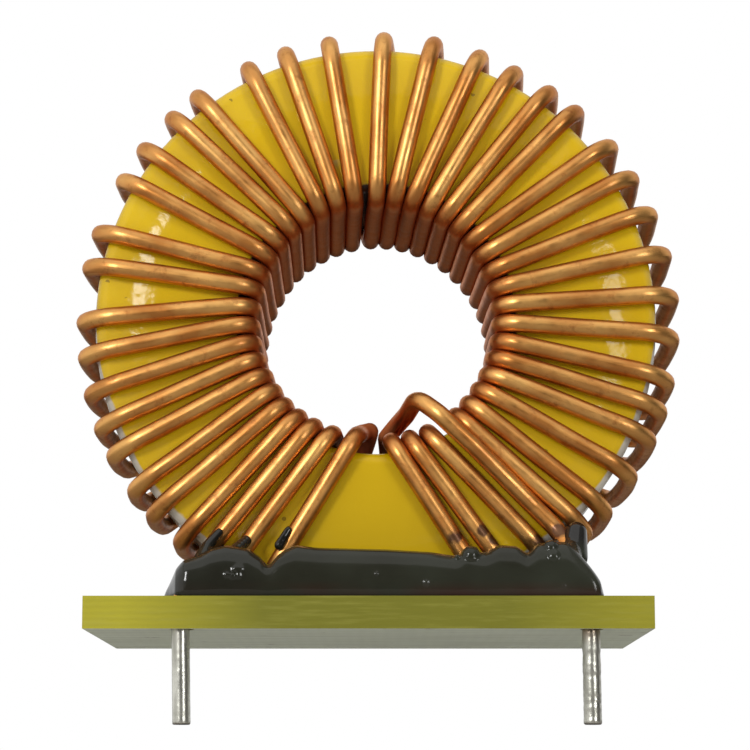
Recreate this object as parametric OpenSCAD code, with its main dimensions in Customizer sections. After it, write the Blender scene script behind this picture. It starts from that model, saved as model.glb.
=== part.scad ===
// Wound ring core inductor on a carrier plate, for upright through-hole mounting.
// Origin: midway between the two pins on the underside of the plate. X runs along
// the pins, Y from the pin side to the back, Z up. All sizes are in millimetres.

/* [Core] */
// Outer diameter of the painted ring core
core_od = 33.3; // [32.8:0.1:33.6]
// Inner diameter of the painted ring core
core_id = 15.8; // [15.7:0.1:16]
// Height of the ring core, along its own axis
core_h = 11.3; // [10.8:0.1:11.6]
// Radius on the edges of the core, paint included
core_edge_r = 0.7; // [0.4:0.1:0.9]

/* [Wire] */
// Diameter of the wire over its enamel
wire_d = 1.04; // [0.9:0.01:1.04]
// Number of sides on the wire's section
wire_sides = 8; // [6:2:8]

/* [Plate] */
// Length of the carrier plate, along the pins
plate_l = 32.3; // [32:0.1:34]
// Width of the carrier plate, along the core's axis
plate_w = 20; // [18.5:0.1:21]
// Thickness of the carrier plate
plate_t = 1.85; // [1.5:0.05:2.1]
// Diameter of the two lead holes
lead_hole_d = 1.3; // [1.2:0.05:1.5]

/* [Pins] */
// Distance between the two pins
pin_pitch = 23.2; // [23:0.1:23.4]
// Diameter of a pin, which is the wire's stripped end in its skin of solder
pin_d = 1.1; // [1:0.01:1.12]
// Length of a pin below the plate
pin_len = 5.35; // [3:0.05:6]
// Distance from the front edge of the plate to the pins
pin_setback = 0.95; // [0.9:0.05:1.2]
// Distance from the left end of the plate to the left pin
pin_left_end = 5.6; // [5:0.1:6]

/* [Resin] */
// How far back the resin reaches under the ring, from the pins
resin_back = 6.2; // [5:0.1:7]
// How far the resin stands in front of the pins
resin_front = 0.85; // [0.6:0.05:0.9]

/* [Placing] */
// How far the core's axis is to the left of the middle between the pins
core_shift = 0.65; // [0.5:0.05:0.8]
// Distance from the pins back to the front face of the core
core_back = 3.7; // [3.6:0.05:3.9]
// Clearance between the wire and the paint that it lies on
wire_gap = 0.02; // [0.01:0.01:0.05]
// The most that a turn springs off the outer wall, over that clearance
wire_spring = 0.4; // [0.1:0.05:0.4]

/* [Hidden] */
$fn = 96;
PIN_GAP = 0.1;  // from the plate's underside down to the solder

core_z = plate_t + core_od/2;
wire_r = wire_d/2;
off = wire_r + wire_gap;            // from the paint to the wire's centreline
bend_r = core_edge_r + off;         // centreline round an edge of the core
r_in = core_id/2 - off;             // centreline on the inner wall
r_out = core_od/2 + off;            // centreline on the outer wall
y_rear = core_back + core_h + off;  // centreline on the rear face

// Angles are degrees clockwise from the top, seen from the front.
// Where the turns leave the inner wall at the front: [turn, angle], even in between
INNER = [[0, -170.5], [1, -159], [2, -149.5], [5, -124.5], [19, -9.5], [20, 0.5],
         [31, 91.5], [37, 140.5], [38, 156], [40, 173.5]];
// How far a turn slants along the inner wall from front to rear: [turn, angle]
SLANT = [[0, -6.5], [1, -5.5], [2, -5], [4, -3.5], [37, -3.5], [38, -8], [40, -9]];
// How far a turn stands off the inner wall at the front: [turn, distance]
LOOSE = [[0, 0.3], [2, 0.15], [4, 0], [37, 0], [40, 0.15]];
// How far a turn stands off the inner wall at the rear, where the lead brings the
// first one in: [turn, distance]
LIFT = [[0, 2.4], [1, 0]];
// How much of that spring a turn has on the outer wall: the plate presses the first
// and the last against the core: [turn, share]
SPRING = [[0, 0], [2, 0.3], [12, 0.3], [15, 0.5], [16, 0.5], [18, 0.1], [19, 0.1],
          [21, 0.4], [23, 0.4], [26, 1], [31, 0.85], [36, 0.7], [38, 0.5], [40, 0]];
// Where each turn, laid by hand, goes over the outer edge at the front
OUTER = [-157.5, -150, -144.5, -139, -131.5, -125.5, -117.5, -111.5, -104.5, -97,
         -90, -79, -72, -60.5, -53, -44.5, -38, -26.5, -18.5, -9.5,
         1.5, 11.5, 21, 28.5, 36.5, 43, 52.5, 60, 68, 76.5,
         85, 93, 101.5, 107.5, 113.5, 121.5, 130, 135.5, 144.5, 152.5, 158];
OUTER_SLANT = 1.5;
turns = len(OUTER);

// A point from its radius and angle on the ring and its distance behind the front face
function on_ring(r, a, y) =
    [r*sin(a) - core_shift, core_back + y, core_z + r*cos(a)];
function inner(i) = lookup(i, INNER);
function inside(i) = r_in - lookup(i, LOOSE);
function outside(i) = r_out + wire_spring*lookup(i, SPRING);

// Where the wire meets the pin at x
function pin_top(x) = [x, 0, -PIN_GAP];

// The lead from the left pin: up through the plate, back under the turns, up behind
// them over the first one, and in to the inner wall.
LEAD_IN = [
    pin_top(-pin_pitch/2),
    [-pin_pitch/2, 0, plate_t + 0.75],
    [-10, y_rear + 1.5, plate_t + 0.75],
    [-7, y_rear + 1.3, plate_t + 2.1],
    [-2.6, y_rear, plate_t + 4.3]];

// Four corners for each turn: inner wall forward, front face outward, outer wall
// back, rear face inward to the next turn.
TURNS = [for (i = [0:turns - 1]) each [
    on_ring(r_in - lookup(i, LIFT), inner(i) + lookup(i, SLANT), core_h + off),
    on_ring(inside(i), inner(i), -off),
    on_ring(outside(i), OUTER[i], -off),
    on_ring(outside(i), OUTER[i] + OUTER_SLANT, core_h + off)]];

// The last turn lifts off the inner wall, loops over the corners of the turns beside
// it, goes down between two of them and ends in the right pin.
LEAD_OUT = [
    on_ring(r_in, 173.5, core_h + off),
    on_ring(6.6, 177.5, 5.5),
    on_ring(5.7, 168, 1.4),
    on_ring(5.1, 154, -0.6),
    on_ring(6.9, 147.5, -1.55),
    on_ring(9.5, 143.5, -1.35),
    on_ring(14.5, 140.5, -0.65),
    on_ring(16.7, 139.8, -0.75),
    [pin_pitch/2 - 1, 1.2, plate_t + 2.2],
    [pin_pitch/2, 0, plate_t + 0.7],
    pin_top(pin_pitch/2)];

ROUTE = concat(LEAD_IN, TURNS, LEAD_OUT);

function unit(v) = v/norm(v);

// Corner b of a route as three points, whose legs are tangent to an arc
function bend(a, b, c) =
    let (u = unit(a - b), v = unit(c - b),
         half = acos(max(-1, min(1, u*v)))/2,
         step = (180 - 2*half)/3)
    step < 3 ? [b] :
    let (reach = min(bend_r/tan(half), 0.45*norm(a - b), 0.45*norm(c - b)),
         r = reach*tan(half),
         mid = unit(u + v),
         side = unit(u - (u*mid)*mid),
         centre = b + mid*(r/sin(half)))
    [for (t = [step, 0, -step])
        centre + r/cos(step/2)*(sin(t)*side - cos(t)*mid)];

ENDS = len(ROUTE) - 1;
PATH = [for (k = [0:ENDS])
    each k == 0 || k == ENDS ? [ROUTE[k]] : bend(ROUTE[k - 1], ROUTE[k], ROUTE[k + 1])];
LAST = len(PATH) - 1;
TANGENT = [for (k = [0:LAST])
    unit((k < LAST ? unit(PATH[k + 1] - PATH[k]) : [0, 0, 0])
       + (k > 0 ? unit(PATH[k] - PATH[k - 1]) : [0, 0, 0]))];
// One side of each ring, carried along the path without twist
SIDE = [for (k = 0, s = [1, 0, 0]; k <= LAST;
             k = k + 1, s = k <= LAST ? unit(s - (s*TANGENT[k])*TANGENT[k]) : s) s];

function ring(k) = [for (j = [0:wire_sides - 1])
    let (a = 360*j/wire_sides)
    PATH[k] + wire_r*(cos(a)*SIDE[k] + sin(a)*cross(TANGENT[k], SIDE[k]))];

// The wire from one ring of its path to another
module wire(first = 0, last = LAST) {
    n = wire_sides;
    count = last - first;
    points = [for (k = [first:last]) each ring(k)];
    walls = [for (k = [0:count - 1], j = [0:n - 1]) let (m = (j + 1) % n)
        each [[k*n + j, (k + 1)*n + m, k*n + m], [k*n + j, (k + 1)*n + j, (k + 1)*n + m]]];
    ends = [[for (j = [0:n - 1]) j], [for (j = [n - 1:-1:0]) count*n + j]];
    polyhedron(points, concat(walls, ends));
}

module ring_core() {
    w = (core_od - core_id)/2;
    e = core_edge_r;
    translate([-core_shift, core_back, core_z])
        rotate([-90, 0, 0])
            rotate_extrude()
                translate([core_id/2, 0]) {
                    translate([e, 0]) square([w - 2*e, core_h]);
                    translate([0, e]) square([w, core_h - 2*e]);
                    for (x = [e, w - e], y = [e, core_h - e])
                        translate([x, y]) circle(e);
                }
}

module core() {
    color("gold") ring_core();
}

module winding() {
    color("peru") wire();
}

// The stripped and tinned end of the wire, below the plate
module pin(x) {
    color("silver")
        translate([x, 0, -pin_len])
            cylinder(d = pin_d, h = pin_len - PIN_GAP, $fn = 48);
}

module pin_left() {
    pin(-pin_pitch/2);
}

module pin_right() {
    pin(pin_pitch/2);
}

module carrier_plate() {
    color("olive")
        difference() {
            translate([-pin_pitch/2 - pin_left_end, -pin_setback, 0])
                cube([plate_l, plate_w, plate_t]);
            for (x = [-1, 1]*pin_pitch/2)
                translate([x, 0, -1])
                    cylinder(d = lead_hole_d, h = plate_t + 2, $fn = 48);
        }
}

// Height of the resin on the core's face, along the plate: [x, height]
RESIN = [[-13, -1], [-12.8, 0.6], [-12.4, 1.6], [-11.8, 2.3], [-10.7, 2.6], [-9.4, 3.1],
         [-8, 3], [-6.8, 1.8], [-5.6, 2.8], [0, 2.65], [3.9, 2.4], [6.4, 2.9], [8, 2.6],
         [9.5, 3.2], [10.3, 4.5], [11.3, 4.6], [11.4, 3.8], [11.3, 2.5], [11.9, 1.4],
         [12.25, 0.7], [12.3, -1]];
// How steeply the top of the resin falls away from the core's face
RESIN_FALL = 4;
// Section of the bead across the plate, in front of the core and under it
RESIN_SECTION = [
    [0.15 - resin_front, 0], [-resin_front, 0.5], [0.15 - resin_front, 1.3],
    [0.5 - resin_front, 2.1], [0.5, 2.7], [1.3, 3.3], [2.4, 4], [core_back + 0.4, 5],
    [resin_back, 5], [resin_back, 0]];

// Rings of the wire's path, from either end, among which all that meet the resin are
RESIN_RINGS = 88;

module resin_bead() {
    color([0.16, 0.16, 0.15])
        difference() {
            intersection() {
                translate([-15, 0, plate_t])
                    rotate([90, 0, 90])
                        linear_extrude(30) polygon(RESIN_SECTION);
                translate([0, core_back, plate_t])
                    rotate([90 + RESIN_FALL, 0, 0])
                        translate([0, 0, -8])
                            linear_extrude(20)
                                polygon(concat([[RESIN[0][0], -4]], RESIN,
                                               [[RESIN[len(RESIN) - 1][0], -4]]));
            }
            ring_core();
            wire(last = RESIN_RINGS);
            wire(first = LAST - RESIN_RINGS);
        }
}

core();
winding();
pin_left();
pin_right();
carrier_plate();
resin_bead();
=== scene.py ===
# %% [markdown]
# # A ring core inductor on its carrier plate
# One enamelled copper wire is wound through a painted iron powder ring, the ring stands on a
# fibreglass plate in black resin, and the two stripped ends of the wire go through the plate
# as pins. The CAD model is loaded as a fixed frame in metres, and everything else is fitted
# round it, so no piece has to be placed by eye.

# %% Load the frame
import math

import bmesh
import bpy
from mathutils import Matrix, Vector, noise


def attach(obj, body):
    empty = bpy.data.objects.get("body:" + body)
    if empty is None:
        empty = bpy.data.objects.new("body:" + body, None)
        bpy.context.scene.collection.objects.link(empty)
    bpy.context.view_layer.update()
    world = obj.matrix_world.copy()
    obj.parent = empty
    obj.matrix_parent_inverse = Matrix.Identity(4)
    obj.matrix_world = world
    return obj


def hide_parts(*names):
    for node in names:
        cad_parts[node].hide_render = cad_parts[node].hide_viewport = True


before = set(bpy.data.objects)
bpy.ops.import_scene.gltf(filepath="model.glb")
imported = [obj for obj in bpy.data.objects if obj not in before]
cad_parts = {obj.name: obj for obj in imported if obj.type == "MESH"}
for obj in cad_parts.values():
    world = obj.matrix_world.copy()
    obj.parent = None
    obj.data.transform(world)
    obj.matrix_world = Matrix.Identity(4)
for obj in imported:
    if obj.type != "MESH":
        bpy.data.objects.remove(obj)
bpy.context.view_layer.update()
MM = 0.001

# %% [markdown]
# ## Camera
# A small part is photographed with a long lens from a low place, a little below the plate, so
# that the ring looks tall and round. The camera sits in front of the ring's centre and looks
# up by about nine degrees. Its lens covers only sixteen degrees, which keeps the ring's front
# and back nearly the same size.

# %% Camera
EYE = Vector((-0.53, -149.5, -9.54)) * MM
TILT_UP = 9.18
TURN = 0.06
LENS = 126.24
FILM_WIDTH = 36


def make_camera():
    data = bpy.data.cameras.new("camera")
    data.lens = LENS
    data.sensor_width = FILM_WIDTH
    data.clip_start, data.clip_end = 10 * MM, 20
    camera = bpy.data.objects.new("camera", data)
    camera.location = EYE
    camera.rotation_euler = (math.radians(90 + TILT_UP), 0, math.radians(TURN))
    bpy.context.scene.collection.objects.link(camera)
    bpy.context.scene.camera = camera


make_camera()
bpy.context.scene.view_settings.view_transform = "Standard"
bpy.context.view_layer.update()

# %% [markdown]
# ## Helpers for materials
# Every finish here is a Principled shader with a few texture nodes in front of it. Small helpers
# keep the recipes short: one starts a material, one adds any node and plugs its inputs, and one
# turns a colour read on a screen into the linear values that the renderer works in. The others
# add one common node each, such as a mix, a ramp, a noise or a bump, and give back its output.


# %% Material helpers
def screen(r, g, b):
    linear = [((c / 255 + 0.055) / 1.055) ** 2.4 if c > 10 else c / 255 / 12.92 for c in (r, g, b)]
    return (*linear, 1)


def start_material(name):
    material = bpy.data.materials.new(name)
    material.use_nodes = True
    return material, material.node_tree, material.node_tree.nodes["Principled BSDF"]


def add(tree, kind, plugs=None, **settings):
    node = tree.nodes.new(kind)
    for key, value in settings.items():
        setattr(node, key, value)
    for socket, value in (plugs or {}).items():
        if isinstance(value, bpy.types.NodeSocket):
            tree.links.new(value, node.inputs[socket])
        else:
            node.inputs[socket].default_value = value
    return node


def mix(tree, share, a, b):
    return add(tree, "ShaderNodeMix", {0: share, 6: a, 7: b}, data_type="RGBA").outputs[2]


def weigh(tree, share, a, b):
    return add(tree, "ShaderNodeMix", {0: share, 2: a, 3: b}).outputs[0]


def math_node(tree, operation, a, b=0.0):
    return add(tree, "ShaderNodeMath", {0: a, 1: b}, operation=operation).outputs[0]


def ramp(tree, value, start, end, low=0.0, high=1.0):
    node = add(tree, "ShaderNodeMapRange", {0: value, 1: start, 2: end, 3: low, 4: high})
    return node.outputs[0]


def split(tree, where):
    return add(tree, "ShaderNodeSeparateXYZ", {0: where}).outputs


def place(tree, scale=(1, 1, 1), source="Object"):
    coords = add(tree, "ShaderNodeTexCoord")
    return add(tree, "ShaderNodeMapping", {0: coords.outputs[source], 3: scale}).outputs[0]


def blotches(tree, where, scale, detail=3.0, roughness=0.5):
    node = add(tree, "ShaderNodeTexNoise",
               {"Vector": where, "Scale": scale, "Detail": detail, "Roughness": roughness})
    return node.outputs[0]


def bump(tree, bsdf, height, strength, distance, socket="Normal"):
    node = add(tree, "ShaderNodeBump",
               {"Height": height, "Strength": strength, "Distance": distance})
    tree.links.new(node.outputs[0], bsdf.inputs[socket])


print("screen grey 128 is", round(screen(128, 128, 128)[0], 3), "in the renderer's linear light")


# %% [markdown]
# ## The wire's route
# The winding is one wire from one cut end to the other, so it is drawn as one path. Each turn
# has four corners: it runs forward along the bore, outward over the front face, back along the
# rim, and inward over the rear face to the next turn. The bore is packed full, which sets the
# turns there a wire apart. On the rim they were spread by hand, so each one has its own angle.
# A wire springs off the rim a little, except where the plate presses it on, and the turns
# beside the gap stand off the bore. At the rear the lead lifts the first turn well clear, and
# the turns at the top sag a little. The last turn leaps over three neighbours. Here its rise
# out of the bore is half a millimetre further right than in the solid, and the left lead one
# millimetre further left behind the ring, which leaves the small gap between them open.

# %% Sizes of the ring and the wire
CORE_OD, CORE_ID, CORE_H, CORE_EDGE = 33.3, 15.8, 11.3, 0.7
PLATE_T = 1.85
WIRE_R, WIRE_GAP = 0.52, 0.02
OFF = WIRE_R + WIRE_GAP
SPRING = 0.5
CORE_X, CORE_Y, CORE_Z = -0.65, 3.7, PLATE_T + CORE_OD / 2
PIN_X, PIN_LEN, WIRE_END = 11.6, 5.35, 0.3
LEAD_Z = PLATE_T + 0.75
R_IN, R_OUT = CORE_ID / 2 - OFF, CORE_OD / 2 + OFF
Y_REAR = CORE_Y + CORE_H + OFF
BEND_R = CORE_EDGE + OFF

INNER = [(0, -170.5), (1, -159), (2, -149.5), (5, -124.5), (19, -9.5), (20, 0.5),
         (31, 91.5), (37, 140.5), (38, 156), (40, 173.5)]
SLANT = [(0, -6.5), (1, -5.5), (2, -5), (4, -3.5), (37, -3.5), (38, -8), (40, -9)]
LOOSE = [(0, 0.3), (2, 0.15), (4, 0), (37, 0), (40, 0.15)]
SPRUNG = [(0, 0), (2, 0.2), (10, 0.2), (12, 0.3), (15, 0.5), (16, 0.6), (17, 0.35),
          (19, 0.3), (21, 0.55), (23, 0.5), (26, 0.95), (31, 0.75), (36, 0.65), (38, 0.5), (40, 0)]
LIFT = [(0, 2.4), (1, 0), (9, 0), (13, 0.3), (26, 0.3), (31, 0), (40, 0)]
OUTER = [-157.5, -150, -144.5, -139, -131.5, -125.5, -117.5, -111.5, -104.5, -97,
         -90, -79, -72, -60.5, -53, -44.5, -38, -26.5, -18.5, -9.5,
         1.5, 11.5, 21, 28.5, 36.5, 43, 52.5, 60, 68, 76.5,
         85, 93, 101.5, 107.5, 113.5, 121.5, 130, 135.5, 144.5, 152.5, 158]
OUTER_SLANT = 1.5


def between(x, table):
    for (x0, y0), (x1, y1) in zip(table, table[1:]):
        if x <= x1:
            return y0 + (y1 - y0) * (x - x0) / (x1 - x0)
    return table[-1][1]


def on_ring(radius, angle, back):
    a = math.radians(angle)
    return Vector((radius * math.sin(a) + CORE_X, CORE_Y + back, radius * math.cos(a) + CORE_Z))


def route():
    left = [Vector((-PIN_X, 0, z)) for z in (WIRE_END, LEAD_Z)]
    left += [Vector((-10, Y_REAR + 1.5, LEAD_Z)),
             Vector((-7, Y_REAR + 1.3, PLATE_T + 2.1)),
             Vector((-3.6, Y_REAR, PLATE_T + 4.3))]
    turns = []
    for i, outer in enumerate(OUTER):
        inner = between(i, INNER)
        inside = R_IN - between(i, LOOSE)
        outside = R_OUT + SPRING * between(i, SPRUNG)
        turns += [on_ring(R_IN - between(i, LIFT), inner + between(i, SLANT), CORE_H + OFF),
                  on_ring(inside, inner, -OFF),
                  on_ring(outside, outer, -OFF),
                  on_ring(outside, outer + OUTER_SLANT, CORE_H + OFF)]
    loop = [on_ring(R_IN, 173.5, CORE_H + OFF), on_ring(6.35, 174, 5.5),
            on_ring(5.75, 161.5, 1.4), on_ring(5.3, 153, -0.6), on_ring(6.9, 147.5, -1.55),
            on_ring(9.5, 143.5, -1.35), on_ring(14.5, 140.5, -0.65),
            on_ring(16.7, 139.8, -0.75)]
    right = [Vector((PIN_X - 1, 1.2, PLATE_T + 2.2)), Vector((PIN_X, 0, PLATE_T + 0.7)),
             Vector((PIN_X, 0, WIRE_END))]
    return left + turns + loop + right


corners = route()
print(len(corners), "corners on the wire's route,", len(OUTER) + 1, "passes through the ring")

# %% [markdown]
# A wire can't turn a sharp corner: it hugs the rounded edge of the ring. So each corner becomes
# an arc of the edge's radius plus half a wire. Copper this thick springs back a little, so the
# corners at the rim get a wider arc than those in the bore. The straight stretches get points
# as well, because each of them will be moved a little in the next step.

# %% Rounding the corners
ARC_STEP = 14.0
STRAIGHT_STEP = 1.2
OUTER_BEND_R = 1.9
NEARLY_STRAIGHT = 4
LONGEST_REACH = 0.46


def from_core_axis(p):
    return math.hypot(p.x - CORE_X, p.z - CORE_Z)


def arc(a, b, c):
    u, v = (a - b).normalized(), (c - b).normalized()
    half = u.angle(v) / 2
    turn = math.pi - 2 * half
    if math.degrees(turn) < NEARLY_STRAIGHT:
        return [b]
    bend = OUTER_BEND_R if from_core_axis(b) > CORE_OD / 2 else BEND_R
    shorter = min((a - b).length, (c - b).length)
    reach = min(bend / math.tan(half), LONGEST_REACH * shorter)
    radius = reach * math.tan(half)
    middle = (u + v).normalized()
    side = (u - u.dot(middle) * middle).normalized()
    centre = b + middle * (radius / math.sin(half))
    count = max(2, round(math.degrees(turn) / ARC_STEP))
    angles = [turn * (0.5 - k / count) for k in range(count + 1)]
    return [centre + radius * (math.sin(t) * side - math.cos(t) * middle) for t in angles]


def rounded(points):
    path = [points[0]]
    for a, b, c in zip(points, points[1:], points[2:]):
        path += arc(a, b, c)
    return path + [points[-1]]


def filled(path):
    out = [path[0]]
    for a, b in zip(path, path[1:]):
        steps = max(1, math.ceil((b - a).length / STRAIGHT_STEP))
        out += [a.lerp(b, k / steps) for k in range(1, steps + 1)]
    return out


path = filled(rounded(corners))
length = sum((b - a).length for a, b in zip(path, path[1:]))
print("the wire is", round(length), "mm long, with", len(path), "rings")


# %% [markdown]
# ## The winding
# The wire's surface is a circle carried along the path: one ring of vertices is extruded again
# and again, and each new ring is set square to the path. A frame that is turned only as much
# as the path bends keeps the rings from twisting. Its UV map runs along the wire in
# millimetres and once round it, so that marks in the enamel can follow the wire. A wire laid
# by hand is never quite straight, so smooth noise moves the path by a few hundredths of a
# millimetre, and over the rim it bows out by a fifth of a millimetre between its corners. Near
# the plate, where the turns are wedged in, both are left out. The noise has a fixed seed, so
# every run draws the same wire.

# %% Sweeping a wire
WIRE_SIDES = 16
DRAWN_WIRE_R = 0.54
WANDER, WANDER_PACE, WANDER_START, WANDER_SEED = 0.045, 0.23, Vector((7, 3, 5)), 7
BOW, BOW_FROM_Z, BOW_FULL_Z = 0.2, 3, 7


def frames(path):
    tangents = []
    for k, p in enumerate(path):
        before = path[max(k - 1, 0)]
        after = path[min(k + 1, len(path) - 1)]
        tangents.append(((after - p).normalized() + (p - before).normalized()).normalized())
    side = Vector((1, 0, 0))
    out = []
    for t in tangents:
        side = (side - side.dot(t) * t).normalized()
        out.append((side.copy(), t.cross(side)))
    return out


def next_ring(bm, ring):
    edges = [bm.edges.get((ring[k - 1], ring[k])) for k in range(len(ring))]
    made = bmesh.ops.extrude_edge_only(bm, edges=edges)["geom"]
    new = {v for v in made if isinstance(v, bmesh.types.BMVert)}
    return [next(e.other_vert(v) for e in v.link_edges if e.other_vert(v) in new) for v in ring]


def sweep(name, path, radii, sides):
    bm = bmesh.new()
    along = bm.verts.layers.float.new("along")
    around = bm.verts.layers.float.new("around")
    ring = bmesh.ops.create_circle(bm, segments=sides, radius=1)["verts"]
    distance = 0.0
    for k, (p, (side, up)) in enumerate(zip(path, frames(path))):
        if k:
            ring = next_ring(bm, ring)
            distance += (p - path[k - 1]).length
        for j, v in enumerate(ring):
            a = 2 * math.pi * j / sides
            v.co = (p + radii[k] * (math.cos(a) * side + math.sin(a) * up)) * MM
            v[along], v[around] = distance, j / sides
    bmesh.ops.holes_fill(bm, edges=[e for e in bm.edges if e.is_boundary], sides=sides)
    uv = bm.loops.layers.uv.new("wire")
    for face in bm.faces:
        wraps = max(v[around] for v in face.verts) - min(v[around] for v in face.verts) > 0.5
        for loop in face.loops:
            turn = loop.vert[around] + (1 if wraps and loop.vert[around] < 0.5 else 0)
            loop[uv].uv = (loop.vert[along], turn)
    bmesh.ops.recalc_face_normals(bm, faces=bm.faces)
    return finished(name, bm)


def finished(name, bm):
    for face in bm.faces:
        face.smooth = True
    mesh = bpy.data.meshes.new(name)
    bm.to_mesh(mesh)
    bm.free()
    piece = bpy.data.objects.new(name, mesh)
    bpy.context.scene.collection.objects.link(piece)
    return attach(piece, "root")


def wander(p):
    return p + Vector(noise.noise_vector(p * WANDER_PACE + WANDER_START)) * WANDER


def bowed(p):
    r = from_core_axis(p)
    if r < CORE_OD / 2 or not CORE_Y < p.y < CORE_Y + CORE_H:
        return p
    clear = min(1, max(0, (p.z - BOW_FROM_Z) / (BOW_FULL_Z - BOW_FROM_Z)))
    out = BOW * math.sin(math.pi * (p.y - CORE_Y) / CORE_H) * clear
    return p + Vector((p.x - CORE_X, 0, p.z - CORE_Z)) / r * out


LOOSE_FROM_Z = PLATE_T + 1.5
noise.seed_set(WANDER_SEED)
wire_path = [bowed(wander(p)) if p.z > LOOSE_FROM_Z else p for p in path]
winding = sweep("winding_wire", wire_path, [DRAWN_WIRE_R] * len(path), WIRE_SIDES)
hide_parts("winding")
print("the winding has", len(winding.data.polygons), "faces")

# %% [markdown]
# ## Enamelled copper
# The bare metal is bright, but it lies under a clear brown varnish baked on in many coats. So
# the metal gets the tint of the two together, a clear coat gives the second, sharper
# highlight, and slow changes along the wire make some stretches darker and some brighter. Fine
# lines from the drawing die run along it, so their noise is stretched along the UV map. Seen at
# a slant, light goes through more varnish, so a layer weight turns the wire's edges brown.
# Inside the bore, where wire faces wire, the wire's colour is painted darker as painted shade,
# and darker still at the rear. The first turn slopes up there and would mirror the backdrop, so
# it gets less metal: it looks dull.
# Near the right pin the enamel was scorched in spots when the end was stripped and soldered.


# %% Enamelled copper
def enamelled_copper():
    material, tree, bsdf = start_material("enamelled_copper")
    along = place(tree, (0.3, 2, 1), "UV")
    lines = place(tree, (0.5, 50, 1), "UV")
    space = place(tree)
    slow = blotches(tree, along, 1.0, 4)
    spots = blotches(tree, space, 1100, 5, 0.65)
    bore_shade = in_the_bore(tree, space)
    tone = mix(tree, ramp(tree, slow, 0.36, 0.66), screen(198, 132, 66), screen(238, 184, 108))
    dark = ramp(tree, spots, 0.56, 0.76, 0.0, 0.85)
    tone = mix(tree, dark, tone, screen(150, 86, 42))
    # painted shade: inside the bore the wire's colour is painted darker
    tone = mix(tree, bore_shade, tone, screen(202, 122, 74))
    depth = split(tree, space)[1]
    # painted shade: darker still towards the rear of the bore
    rear_bore_shade = math_node(tree, "MULTIPLY", bore_shade,
                     ramp(tree, depth, (CORE_Y + 9) * MM, (CORE_Y + CORE_H) * MM))
    tone = mix(tree, rear_bore_shade, tone, screen(118, 62, 40))
    facing = add(tree, "ShaderNodeLayerWeight", {"Blend": 0.5}).outputs["Facing"]
    tone = mix(tree, ramp(tree, facing, 0.35, 1.0, 0.0, 0.45), tone, screen(138, 68, 32))
    tree.links.new(mix(tree, scorched(tree, space), tone, screen(66, 44, 46)),
                   bsdf.inputs["Base Color"])
    dulled = first_turn_inside(tree, space, depth)
    tree.links.new(ramp(tree, dulled, 0.0, 1.0, 1.0, 0.0), bsdf.inputs["Metallic"])
    bsdf.inputs["Specular IOR Level"].default_value = 0
    bsdf.inputs["Specular Tint"].default_value = screen(250, 222, 198)
    drawn = blotches(tree, lines, 1.0, 2)
    rough = math_node(tree, "ADD", ramp(tree, spots, 0.3, 0.75, 0.31, 0.5),
                      ramp(tree, drawn, 0.3, 0.7, -0.03, 0.04))
    tree.links.new(rough, bsdf.inputs["Roughness"])
    shine = math_node(tree, "SUBTRACT", ramp(tree, bore_shade, 0.0, 1.0, 0.25, 0.05),
                      math_node(tree, "MULTIPLY", dulled, 0.05))
    tree.links.new(shine, bsdf.inputs["Coat Weight"])
    bsdf.inputs["Coat Roughness"].default_value = 0.24
    bsdf.inputs["Coat Tint"].default_value = (1.0, 0.86, 0.68, 1)
    uneven = math_node(tree, "ADD", math_node(tree, "MULTIPLY", spots, 0.8), drawn)
    bump(tree, bsdf, uneven, 0.2, 0.03 * MM)
    return material


def from_axis(tree, xyz):
    side = math_node(tree, "SUBTRACT", xyz[0], CORE_X * MM)
    up = math_node(tree, "SUBTRACT", xyz[2], CORE_Z * MM)
    flat = add(tree, "ShaderNodeCombineXYZ", {0: side, 1: up})
    return add(tree, "ShaderNodeVectorMath", {0: flat.outputs[0]}, operation="LENGTH").outputs[1]


def in_the_bore(tree, space):
    xyz = split(tree, space)
    near_axis = ramp(tree, from_axis(tree, xyz), 9.6 * MM, 7.8 * MM)
    deep = ramp(tree, xyz[1], (CORE_Y - 1.1) * MM, (CORE_Y + 1) * MM)
    return math_node(tree, "MULTIPLY", near_axis, deep)


def away_from(tree, space, x, z):
    xyz = split(tree, space)
    flat = add(tree, "ShaderNodeCombineXYZ", {0: xyz[0], 2: xyz[2]}).outputs[0]
    spot = (x * MM, 0, z * MM)
    return add(tree, "ShaderNodeVectorMath", {0: flat, 1: spot}, operation="DISTANCE").outputs[1]


FIRST_TURN_X, FIRST_TURN_Z = -1.1, 13
SCORCHES = [(4.2, 5.55, 0.5), (5.6, 5.9, 0.45), (6.3, 5.45, 0.6), (8.9, 5.3, 0.5), (9.9, 5.9, 0.8)]


def first_turn_inside(tree, space, depth):
    beside = ramp(tree, away_from(tree, space, FIRST_TURN_X, FIRST_TURN_Z), 1.8 * MM, 1.2 * MM)
    inside = math_node(tree, "MINIMUM", ramp(tree, depth, (CORE_Y + 0.3) * MM, (CORE_Y + 3) * MM),
                       ramp(tree, depth, (Y_REAR + 0.6) * MM, (Y_REAR - 0.8) * MM))
    return math_node(tree, "MULTIPLY", beside, inside)


def scorched(tree, space):
    ragged = ramp(tree, blotches(tree, space, 900, 3), 0.3, 0.7, -0.3 * MM, 0.3 * MM)
    marked = 0.0
    for x, z, size in SCORCHES:
        edge = math_node(tree, "ADD", away_from(tree, space, x, z), ragged)
        marked = math_node(tree, "MAXIMUM", ramp(tree, edge, size * MM, 0.5 * size * MM), marked)
    return math_node(tree, "MULTIPLY", marked, 0.85)


def wear(piece, material):
    piece.data.materials.clear()
    piece.data.materials.append(material)
    print(piece.name, "wears", material.name, "made of", len(material.node_tree.nodes), "nodes")


wear(winding, enamelled_copper())
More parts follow.
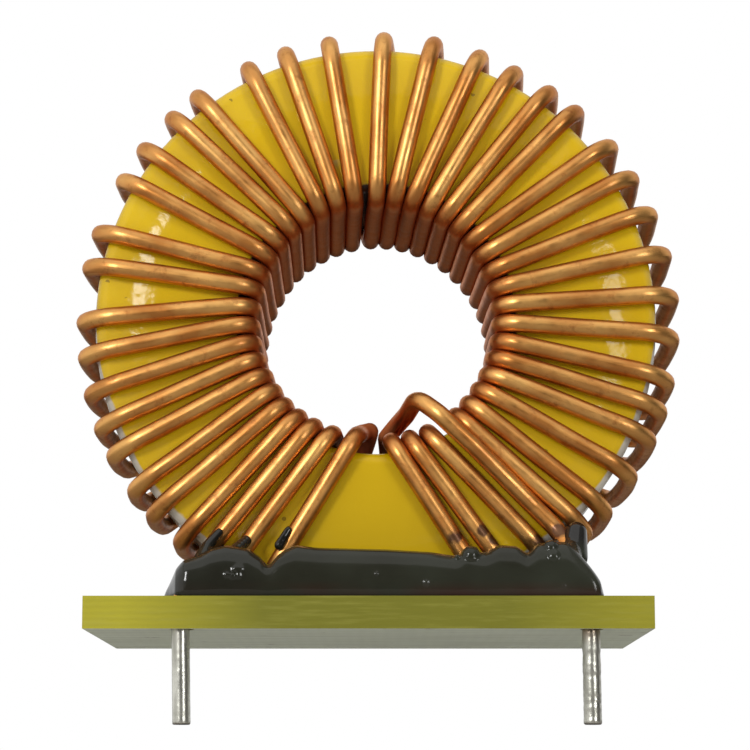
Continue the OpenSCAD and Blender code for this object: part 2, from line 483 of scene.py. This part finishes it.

# %% [markdown]
# ## Painted ring
# The ring is pressed iron powder dipped in epoxy. The front face is yellow, the rim and the
# rear face are greyish white, and the bore's wall is painted dark brown as painted shade. The
# yellow is also painted darker towards the bottom of the ring, as painted shade. The paint line
# follows the start of the rounded edge, but round the top of the rim the yellow has run over
# the edge. The film is thick and glossy and gathers near the rim. So the colour gets a nearly
# flat surface, and the clear coat over it has a second one of its own, domed and lumpy, that
# breaks the lamps' reflections into small bright patches. A few dark grains are caught in it.


# %% Painted ring
def ring_paint():
    material, tree, bsdf = start_material("ring_paint")
    space = place(tree)
    xyz = split(tree, space)
    depth = math_node(tree, "SUBTRACT", xyz[1], CORE_Y * MM)
    radius = from_axis(tree, xyz)
    wavy = blotches(tree, space, 260, 3)
    high = ramp(tree, xyz[2], (CORE_Z - 5) * MM, (CORE_Z + 3) * MM, 0.03, 0.55)
    low_in = ramp(tree, xyz[2], (CORE_Z - 2) * MM, (CORE_Z - 6) * MM, 0.02, 0.6)
    inside = ramp(tree, radius, 12 * MM, 10 * MM)
    run = math_node(tree, "ADD", weigh(tree, inside, high, low_in),
                    ramp(tree, wavy, 0.3, 0.7, -0.04, 0.08))
    over = math_node(tree, "SUBTRACT", depth, math_node(tree, "MULTIPLY", run, MM))
    plain = ramp(tree, over, 0.0, 0.05 * MM)
    tint = blotches(tree, space, 120, 4)
    yellow = mix(tree, ramp(tree, tint, 0.35, 0.7), screen(206, 172, 1), screen(194, 156, 0))
    # painted shade: the yellow is painted darker towards the bottom of the ring
    low = ramp(tree, xyz[2], 22 * MM, 6 * MM)
    yellow = mix(tree, low, yellow, screen(182, 149, 0))
    grey = mix(tree, ramp(tree, tint, 0.3, 0.7), screen(188, 182, 168), screen(150, 142, 128))
    # painted shade: the bore's wall is painted dark brown
    grey = mix(tree, ramp(tree, radius, 10 * MM, 9 * MM), grey, screen(58, 36, 26))
    base = mix(tree, plain, yellow, grey)
    grains = add(tree, "ShaderNodeTexVoronoi", {"Vector": space, "Scale": 700})
    close = math_node(tree, "LESS_THAN", grains.outputs["Distance"], 0.1)
    rare = math_node(tree, "GREATER_THAN", blotches(tree, space, 380, 2), 0.58)
    speck = math_node(tree, "MULTIPLY", math_node(tree, "MULTIPLY", close, rare), 0.6)
    tree.links.new(mix(tree, speck, base, screen(80, 60, 10)), bsdf.inputs["Base Color"])
    bsdf.inputs["Roughness"].default_value = 0.5
    bsdf.inputs["Specular IOR Level"].default_value = 0.1
    bsdf.inputs["Coat Weight"].default_value = 0.45
    bsdf.inputs["Coat Roughness"].default_value = 0.14
    bsdf.inputs["Coat IOR"].default_value = 1.45
    fine = math_node(tree, "MULTIPLY", blotches(tree, space, 1500, 3), 0.08)
    lumps = math_node(tree, "MULTIPLY", blotches(tree, space, 420, 3),
                      ramp(tree, radius, 11 * MM, 15 * MM, 0.15, 0.6))
    dome = math_node(tree, "POWER", ramp(tree, radius, 12.4 * MM, 16.6 * MM), 2)
    uneven = math_node(tree, "ADD", fine, lumps)
    domed = math_node(tree, "SUBTRACT", uneven, math_node(tree, "MULTIPLY", dome, 4.2))
    bump(tree, bsdf, uneven, 0.5, 0.3 * MM)
    bump(tree, bsdf, domed, 1.0, 0.3 * MM, "Coat Normal")
    return material


wear(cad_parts["core"], ring_paint())


# %% [markdown]
# ## Black resin
# The ring stands in a bead of black epoxy that was poured along the pin side and pulled up
# round the lowest wires before it set. The bead starts as one cross-section, which is extruded
# along the plate and given its own height at each station, and at both ends its front draws
# back. Thin runs up the wires are rows of drops laid beside them, and wide flat drops swell the
# front. Burst bubbles are beads a third of a millimetre across.


# %% The resin's shapes
RESIN = [(-12.95, 0), (-12.8, 0.4), (-12.4, 1.05), (-12, 1.75), (-11.6, 2.15), (-10.6, 2.45),
         (-10, 2.8), (-9.2, 3), (-7.9, 2.8), (-7.2, 2.3), (-6.9, 1.9), (-6.65, 1.8),
         (-6.4, 2.3), (-5.95, 2.65), (-5.2, 3), (-4, 2.85), (0, 2.75), (2.5, 2.6), (4, 2.35),
         (4.5, 2.8), (5.6, 2.55), (6.4, 3), (7.4, 2.95), (8, 2.5), (8.6, 3.1), (10.2, 3.2),
         (10.7, 2.8), (11.05, 2.4), (11.5, 1.85), (12, 1.15), (12.25, 0.75), (12.4, 0)]
FRONT = [(-12.95, 3), (-12.4, 1.7), (-12, 0.4), (-11.5, 0), (11.8, 0), (12.1, 0.15), (12.4, 1.2)]
RESIN_SECTION = [(6.1, 0), (-0.75, 0), (-0.85, 0.12), (-0.85, 0.4), (-0.78, 0.64),
                 (-0.6, 0.82), (-0.3, 0.94), (0.15, 0.99), (1, 1), (3, 1), (6.1, 1)]
RUNS = [((-10.75, 1.3, 3.9), (-10.4, 2.0, 4.9), 0.5, 0.34),
        ((-10.4, 2.0, 4.9), (-9.72, 2.35, 5.75), 0.34, 0.27),
        ((-9.35, 0.8, 3.9), (-8.15, 2.2, 5.25), 0.5, 0.34),
        ((-6.25, 2.6, 5.05), (-5.72, 2.65, 5.95), 0.3, 0.22),
        ((10.75, 1.9, 4.3), (10.95, 2.35, 5.75), 0.85, 0.65),
        ((10.9, -0.2, 3.2), (10.6, 1.7, 5.0), 0.5, 0.4),
        ((8.9, 2.2, 4.5), (9.9, 2.3, 4.9), 0.45, 0.5)]
BULGES = [((-8.7, 0.55, 3.3), (1.7, 1.4, 0.75)), ((-8.45, 0.1, 3.35), (0.95, 1.03, 0.55)),
          ((-10.6, 0.4, 3.2), (0.6, 1.2, 0.9)),
          ((-5.2, 0.6, 3.5), (1.0, 1.3, 0.8)), ((4.0, 0.2, 3.9), (0.35, 0.5, 0.4)),
          ((5.5, 0.1, 3.8), (0.35, 0.5, 0.5)), ((7.2, 0.5, 3.5), (1.1, 1.2, 0.8))]
BUBBLES = [(-10.4, 2.05, 4.35), (-9.0, 1.6, 4.1), (-9.1, -0.78, 3.05), (-8.75, -0.8, 2.98),
           (-8.4, -0.8, 3.0), (-7.3, -0.3, 3.75), (-5.6, -0.55, 3.6), (-5.0, -0.5, 3.7),
           (-4.7, -0.6, 3.5), (-5.0, -0.1, 4.2), (4.0, -0.45, 4.1), (5.2, -0.5, 3.6),
           (5.4, -0.6, 3.2), (5.8, -0.4, 4.1), (10.0, -0.5, 3.4), (10.0, -0.7, 2.9),
           (10.0, -0.75, 2.4), (-0.6, -0.75, 3.1), (2.2, -0.8, 2.6)]
STATIONS, STATION_STEP = 109, 0.23
BUBBLE_R = 0.16
RUN_STEPS = 8


def bead_ring(x):
    height, drawn_back = between(x, RESIN), between(x, FRONT)
    y_back, y_front = RESIN_SECTION[0][0], RESIN_SECTION[3][0]
    return [Vector((x, y + drawn_back * (y_back - y) / (y_back - y_front), PLATE_T + height * share))
            for y, share in RESIN_SECTION]


def bead(bm):
    verts = [bm.verts.new(p * MM) for p in bead_ring(RESIN[0][0])]
    ring = list(bm.faces.new(verts).verts)
    stations = [RESIN[0][0] + STATION_STEP * k for k in range(1, STATIONS + 1)]
    for x in stations + [RESIN[-1][0]]:
        ring = next_ring(bm, ring)
        for v, p in zip(ring, bead_ring(x)):
            v.co = p * MM
    bm.faces.new(ring)


def drop(bm, centre, sizes):
    spot = Matrix.Translation(Vector(centre) * MM) @ Matrix.Diagonal((*sizes, 1))
    bmesh.ops.create_icosphere(bm, subdivisions=3, radius=MM, matrix=spot)


def run_up(bm, foot, tip, foot_r, tip_r):
    for k in range(RUN_STEPS + 1):
        r = foot_r + (tip_r - foot_r) * k / RUN_STEPS
        drop(bm, Vector(foot).lerp(Vector(tip), k / RUN_STEPS), (r, r, r))


def poured():
    bm = bmesh.new()
    bead(bm)
    for foot, tip, foot_r, tip_r in RUNS:
        run_up(bm, foot, tip, foot_r, tip_r)
    for centre, sizes in BULGES:
        drop(bm, centre, sizes)
    for centre in BUBBLES:
        drop(bm, centre, (BUBBLE_R, BUBBLE_R, BUBBLE_R))
    bmesh.ops.recalc_face_normals(bm, faces=bm.faces)
    return finished("resin_skin", bm)


resin = poured()
print("the resin is poured from", len(RUNS) + len(BULGES) + len(BUBBLES) + 1, "shapes")

# %% [markdown]
# ### Melting them into one skin
# Liquid resin shows no seam where two drops meet. So a voxel remesh melts all the shapes into
# one skin, and a few rounds of smoothing leave the soft hollows that surface tension makes.
# Bubbles that burst late left dents, which are pressed into the skin at the end: what lies
# inside a dent's sphere is pushed most of the way out to its surface.

# %% Melting them into one skin
VOXEL = 0.08
SMOOTHING_ROUNDS = 5
DENTS = [((4.8, -0.35, 4.3), 0.62), ((9.3, -0.3, 4.7), 0.5), ((9.45, -0.4, 4.1), 0.5)]
LEFT_INSIDE = 0.3


def press_dents(mesh):
    for v in mesh.vertices:
        for centre, r in DENTS:
            away = v.co / MM - Vector(centre)
            if away.length < r:
                reach = r + LEFT_INSIDE * (away.length - r)
                v.co = (Vector(centre) + away.normalized() * reach) * MM


def apply_modifiers(piece):
    graph = bpy.context.evaluated_depsgraph_get()
    mesh = bpy.data.meshes.new_from_object(piece.evaluated_get(graph))
    piece.modifiers.clear()
    piece.data = mesh


def melt_together(piece):
    melt = piece.modifiers.new("melt", "REMESH")
    melt.mode = "VOXEL"
    melt.voxel_size = VOXEL * MM
    soften = piece.modifiers.new("soften", "SMOOTH")
    soften.factor, soften.iterations = 0.5, SMOOTHING_ROUNDS
    apply_modifiers(piece)
    press_dents(piece.data)
    for face in piece.data.polygons:
        face.use_smooth = True
    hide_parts("resin_bead")
    print("the resin has", len(piece.data.polygons), "faces")


melt_together(resin)

# %% [markdown]
# The resin is nearly black, but where the film is thin at the foot a warm brown shows through,
# and a thin dull bloom turns parts of it greenish grey. The surface is smooth, but the bloom
# takes some of its shine, so it reflects less than glass would. The runs on the wires and the
# left end have no bloom and are black and wet. Ripples are what tells the eye that it was
# liquid: two noises, one broad and one fine, tilt the highlights.


# %% Black resin
def black_resin():
    material, tree, bsdf = start_material("black_resin")
    space = place(tree)
    broad = blotches(tree, space, 170, 3)
    bloom = mix(tree, ramp(tree, broad, 0.4, 0.7), screen(34, 34, 26), screen(43, 45, 36))
    xyz = split(tree, space)
    foot = ramp(tree, xyz[2], (PLATE_T + 0.9) * MM, PLATE_T * MM)
    brown = math_node(tree, "MULTIPLY", foot,
                      ramp(tree, blotches(tree, place(tree, (0.4, 1, 1)), 260, 2), 0.4, 0.6))
    tone = mix(tree, brown, bloom, screen(48, 22, 16))
    high = ramp(tree, xyz[2], (PLATE_T + 2.7) * MM, (PLATE_T + 3.5) * MM)
    left = ramp(tree, xyz[0], -6.5 * MM, -8.5 * MM, 0.0, 0.35)
    wet = math_node(tree, "MAXIMUM", high, left)
    tree.links.new(mix(tree, wet, tone, screen(22, 20, 17)), bsdf.inputs["Base Color"])
    dull = ramp(tree, broad, 0.3, 0.8, 0.1, 0.24)
    tree.links.new(math_node(tree, "SUBTRACT", dull, math_node(tree, "MULTIPLY", wet, 0.07)),
                   bsdf.inputs["Roughness"])
    bsdf.inputs["IOR"].default_value = 1.5
    tree.links.new(ramp(tree, wet, 0.0, 1.0, 0.3, 0.5), bsdf.inputs["Specular IOR Level"])
    fine = math_node(tree, "MULTIPLY", blotches(tree, space, 900, 2), 0.25)
    bump(tree, bsdf, math_node(tree, "ADD", fine, blotches(tree, space, 300, 2)), 0.3, 0.2 * MM)
    return material


wear(resin, black_resin())

# %% [markdown]
# ## Pins
# Each pin is the wire's own end, stripped and dipped in solder. Solder never coats evenly, so
# the pin is swept like the wire, but each ring's radius changes a little with noise. The right
# pin took more solder, in beads, so its noise is stronger. Both lean in a little, the left one
# more, as it was nudged when the ends were cut. The cut end has a worn corner.


# %% Pins
PIN_R = 0.525
PIN_RINGS = 60
PIN_SIDES = 24
WORN = 0.05


def make_pin(name, x, lean, roughness, seed, node):
    height = PIN_LEN + WIRE_END
    levels = [-PIN_LEN + height * k / PIN_RINGS for k in range(PIN_RINGS + 1)]
    path = [Vector((x - lean * (1 + min(z, 0) / PIN_LEN), 0, z)) for z in levels]
    radii = []
    for p in path:
        swell = noise.noise(Vector((seed, 0, p.z * 1.7))) + noise.noise(Vector((seed, 9, p.z * 4)))
        radii.append(PIN_R - 0.01 + roughness * min(swell, 0.5))
    radii[0] -= 0.06
    path.insert(1, path[0] + Vector((0, 0, WORN)))
    radii.insert(1, PIN_R - 0.02)
    pin = sweep(name, path, radii, PIN_SIDES)
    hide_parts(node)
    return pin


pins = [make_pin("tinned_end_left", -PIN_X, 0.11, 0.006, 3, "pin_left"),
        make_pin("tinned_end_right", PIN_X, 0.04, 0.02, 8, "pin_right")]
print("the pins are", PIN_LEN, "mm long")

# %% [markdown]
# ### Solder
# Tin solder sets with a mottled skin, part bright and part dull, drawn out along the pin as it
# ran down. At the root of the right pin burnt flux left a brown stain, and the cut end shows a
# dark rim. One function makes both finishes, because the right pin differs only in how lumpy
# it is and in how much flux it kept.


# %% Solder
def solder(name, beads, flux):
    material, tree, bsdf = start_material(name)
    space = place(tree)
    long_space = place(tree, (1, 1, 0.3))
    mottle = blotches(tree, long_space, 900, 4, 0.6)
    tone = mix(tree, ramp(tree, mottle, 0.35, 0.7), screen(226, 225, 214), screen(172, 171, 160))
    z = split(tree, space)[2]
    root = math_node(tree, "MULTIPLY", ramp(tree, z, -0.9 * MM, -0.1 * MM), flux)
    tip = ramp(tree, z, (-PIN_LEN + 0.02) * MM, (-PIN_LEN + 0.1) * MM, 1.0, 0.0)
    stained = mix(tree, root, tone, screen(120, 88, 48))
    tree.links.new(mix(tree, tip, stained, screen(90, 84, 76)), bsdf.inputs["Base Color"])
    bsdf.inputs["Metallic"].default_value = 1
    tree.links.new(ramp(tree, mottle, 0.3, 0.75, 0.2, 0.42), bsdf.inputs["Roughness"])
    grain = blotches(tree, space, 1400, 3)
    bump(tree, bsdf, math_node(tree, "ADD", grain, mottle), beads, 0.1 * MM)
    return material


wear(pins[0], solder("left_solder", 0.15, 0.1))
wear(pins[1], solder("right_solder", 0.5, 0.7))

# %% [markdown]
# ## Carrier plate
# The plate is glass cloth in epoxy, the usual circuit board laminate without any copper. Its
# sawn edges show the layers as faint lines and let light through, so they look olive. Their
# colour is painted lighter towards the ends, as painted light. The flat faces show the weave:
# two crossed wave patterns, one for each direction of the threads. Flux and dirt left streaks
# and a few brown specks on them. The CAD node keeps its shape and only gets the finish.


# %% Carrier plate
def threads(tree, space, direction, scale, distortion):
    node = add(tree, "ShaderNodeTexWave",
               {"Vector": space, "Scale": scale, "Distortion": distortion},
               bands_direction=direction)
    return node.outputs[1]


def laminate():
    material, tree, bsdf = start_material("glass_cloth_laminate")
    space = place(tree)
    xyz = split(tree, space)
    normal = split(tree, add(tree, "ShaderNodeNewGeometry").outputs["Normal"])
    flat = ramp(tree, math_node(tree, "ABSOLUTE", normal[2]), 0.4, 0.6)
    weave = math_node(tree, "MULTIPLY", threads(tree, space, "X", 420, 1.0),
                      threads(tree, space, "Y", 420, 1.0))
    layers = threads(tree, space, "Z", 900, 2.0)
    fibres = blotches(tree, place(tree, (0.08, 0.08, 1)), 4200, 4, 0.6)
    # painted light: the edge colour is painted lighter towards both ends
    edge = mix(tree, ramp(tree, xyz[0], -7 * MM, -15 * MM), screen(106, 104, 28),
               screen(156, 148, 38))
    edge = mix(tree, ramp(tree, xyz[0], 7 * MM, 14 * MM), edge, screen(134, 128, 32))
    edge = mix(tree, math_node(tree, "MULTIPLY", layers, 0.1), edge, screen(92, 90, 24))
    edge = mix(tree, ramp(tree, fibres, 0.5, 0.75, 0.0, 0.3), edge, screen(148, 144, 66))
    cloth = mix(tree, math_node(tree, "MULTIPLY", weave, 0.35), screen(178, 182, 162),
                screen(194, 197, 178))
    streaks = ramp(tree, blotches(tree, place(tree, (0.08, 1, 1)), 1100, 3, 0.6), 0.42, 0.62)
    cloth = mix(tree, math_node(tree, "MULTIPLY", streaks, 0.45), cloth, screen(146, 146, 120))
    dirt = ramp(tree, blotches(tree, space, 600, 3, 0.6), 0.66, 0.72, 0.0, 0.8)
    cloth = mix(tree, dirt, cloth, screen(104, 92, 70))
    tree.links.new(mix(tree, flat, edge, cloth), bsdf.inputs["Base Color"])
    bsdf.inputs["Roughness"].default_value = 0.42
    bsdf.inputs["Specular IOR Level"].default_value = 0.2
    bsdf.inputs["Subsurface Weight"].default_value = 0.05
    bsdf.inputs["Subsurface Radius"].default_value = (0.6 * MM, 0.6 * MM, 0.2 * MM)
    height = math_node(tree, "ADD", math_node(tree, "MULTIPLY", weave, 0.2), fibres)
    bump(tree, bsdf, height, 0.25, 0.05 * MM)
    return material


wear(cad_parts["carrier_plate"], laminate())


# %% [markdown]
# ## Lights and floor
# The part is lit like a catalogue picture. Two soft boxes stand in front of it, small enough to
# leave crisp highlights on the wire, and a large weak one hangs above. What shiny surfaces see
# is a light backdrop behind, a white card at the left and a dim ceiling, and the rest is dark,
# which gives the wire and the pins their contrast. The background is white to the camera
# alone. A pale floor lies well below the pins, where it takes the shadow and throws soft light
# up under the plate. In mirror reflections its colour is painted darker, as painted shade.


# %% Lights and floor
def soft_box(name, place_at, size, watts):
    data = bpy.data.lights.new(name, "AREA")
    data.shape = "RECTANGLE"
    data.size, data.size_y = size
    data.energy = watts
    lamp = bpy.data.objects.new(name, data)
    lamp.location = place_at
    target = Vector((CORE_X, CORE_Y, CORE_Z)) * MM
    lamp.rotation_euler = (target - lamp.location).to_track_quat("-Z", "Y").to_euler()
    bpy.context.scene.collection.objects.link(lamp)
    print(name, "gives", watts, "W")


def studio_world():
    world = bpy.data.worlds.new("studio")
    bpy.context.scene.world = world
    world.use_nodes = True
    tree = world.node_tree
    background = tree.nodes["Background"]
    rays = add(tree, "ShaderNodeLightPath")
    direction = add(tree, "ShaderNodeTexCoord").outputs["Generated"]
    xyz = split(tree, direction)
    front_top = math_node(tree, "SUBTRACT", math_node(tree, "MULTIPLY", xyz[2], 0.8),
                          math_node(tree, "MULTIPLY", xyz[1], 0.6))
    fill = ramp(tree, front_top, -0.4, 0.6, 0.12, 0.66)
    behind = math_node(tree, "MULTIPLY", ramp(tree, xyz[1], 0.0, 0.4, 0.0, 0.9),
                       ramp(tree, xyz[2], -0.05, 0.08))
    ceiling = ramp(tree, xyz[2], 0.25, 0.7, 0.05, 0.3)
    left_card = ramp(tree, xyz[0], -0.45, -0.8, 0.0, 0.9)
    shiny = math_node(tree, "MAXIMUM", math_node(tree, "MAXIMUM", behind, ceiling), left_card)
    seen = math_node(tree, "MAXIMUM", rays.outputs["Is Glossy Ray"],
                     rays.outputs["Is Transmission Ray"])
    light = weigh(tree, seen, fill, shiny)
    level = weigh(tree, rays.outputs["Is Camera Ray"], light, 1.0)
    tree.links.new(level, background.inputs["Strength"])
    background.inputs["Color"].default_value = (1, 1, 1, 1)


FLOOR_Z = -12
FLOOR_HALF = 120


def make_floor():
    bm = bmesh.new()
    bmesh.ops.create_grid(bm, x_segments=1, y_segments=1, size=FLOOR_HALF * MM)
    bmesh.ops.translate(bm, vec=(0, 0, FLOOR_Z * MM), verts=bm.verts)
    mesh = bpy.data.meshes.new("floor")
    bm.to_mesh(mesh)
    bm.free()
    floor = bpy.data.objects.new("floor", mesh)
    bpy.context.scene.collection.objects.link(floor)
    material, tree, bsdf = start_material("pale_floor")
    # painted shade in reflections: mirror rays see the floor's colour darker
    mirrored = add(tree, "ShaderNodeLightPath").outputs["Is Glossy Ray"]
    tree.links.new(mix(tree, mirrored, (0.8, 0.8, 0.8, 1), (0.34, 0.32, 0.3, 1)),
                   bsdf.inputs["Base Color"])
    bsdf.inputs["Roughness"].default_value = 0.8
    mesh.materials.append(material)


studio_world()
make_floor()
soft_box("key_box", (-0.26, -0.44, 0.18), (0.1, 0.14), 1.18)
soft_box("fill_box", (0.30, -0.44, 0.12), (0.11, 0.16), 0.68)
soft_box("top_box", (-0.05, -0.2, 0.5), (0.8, 0.6), 1.1)
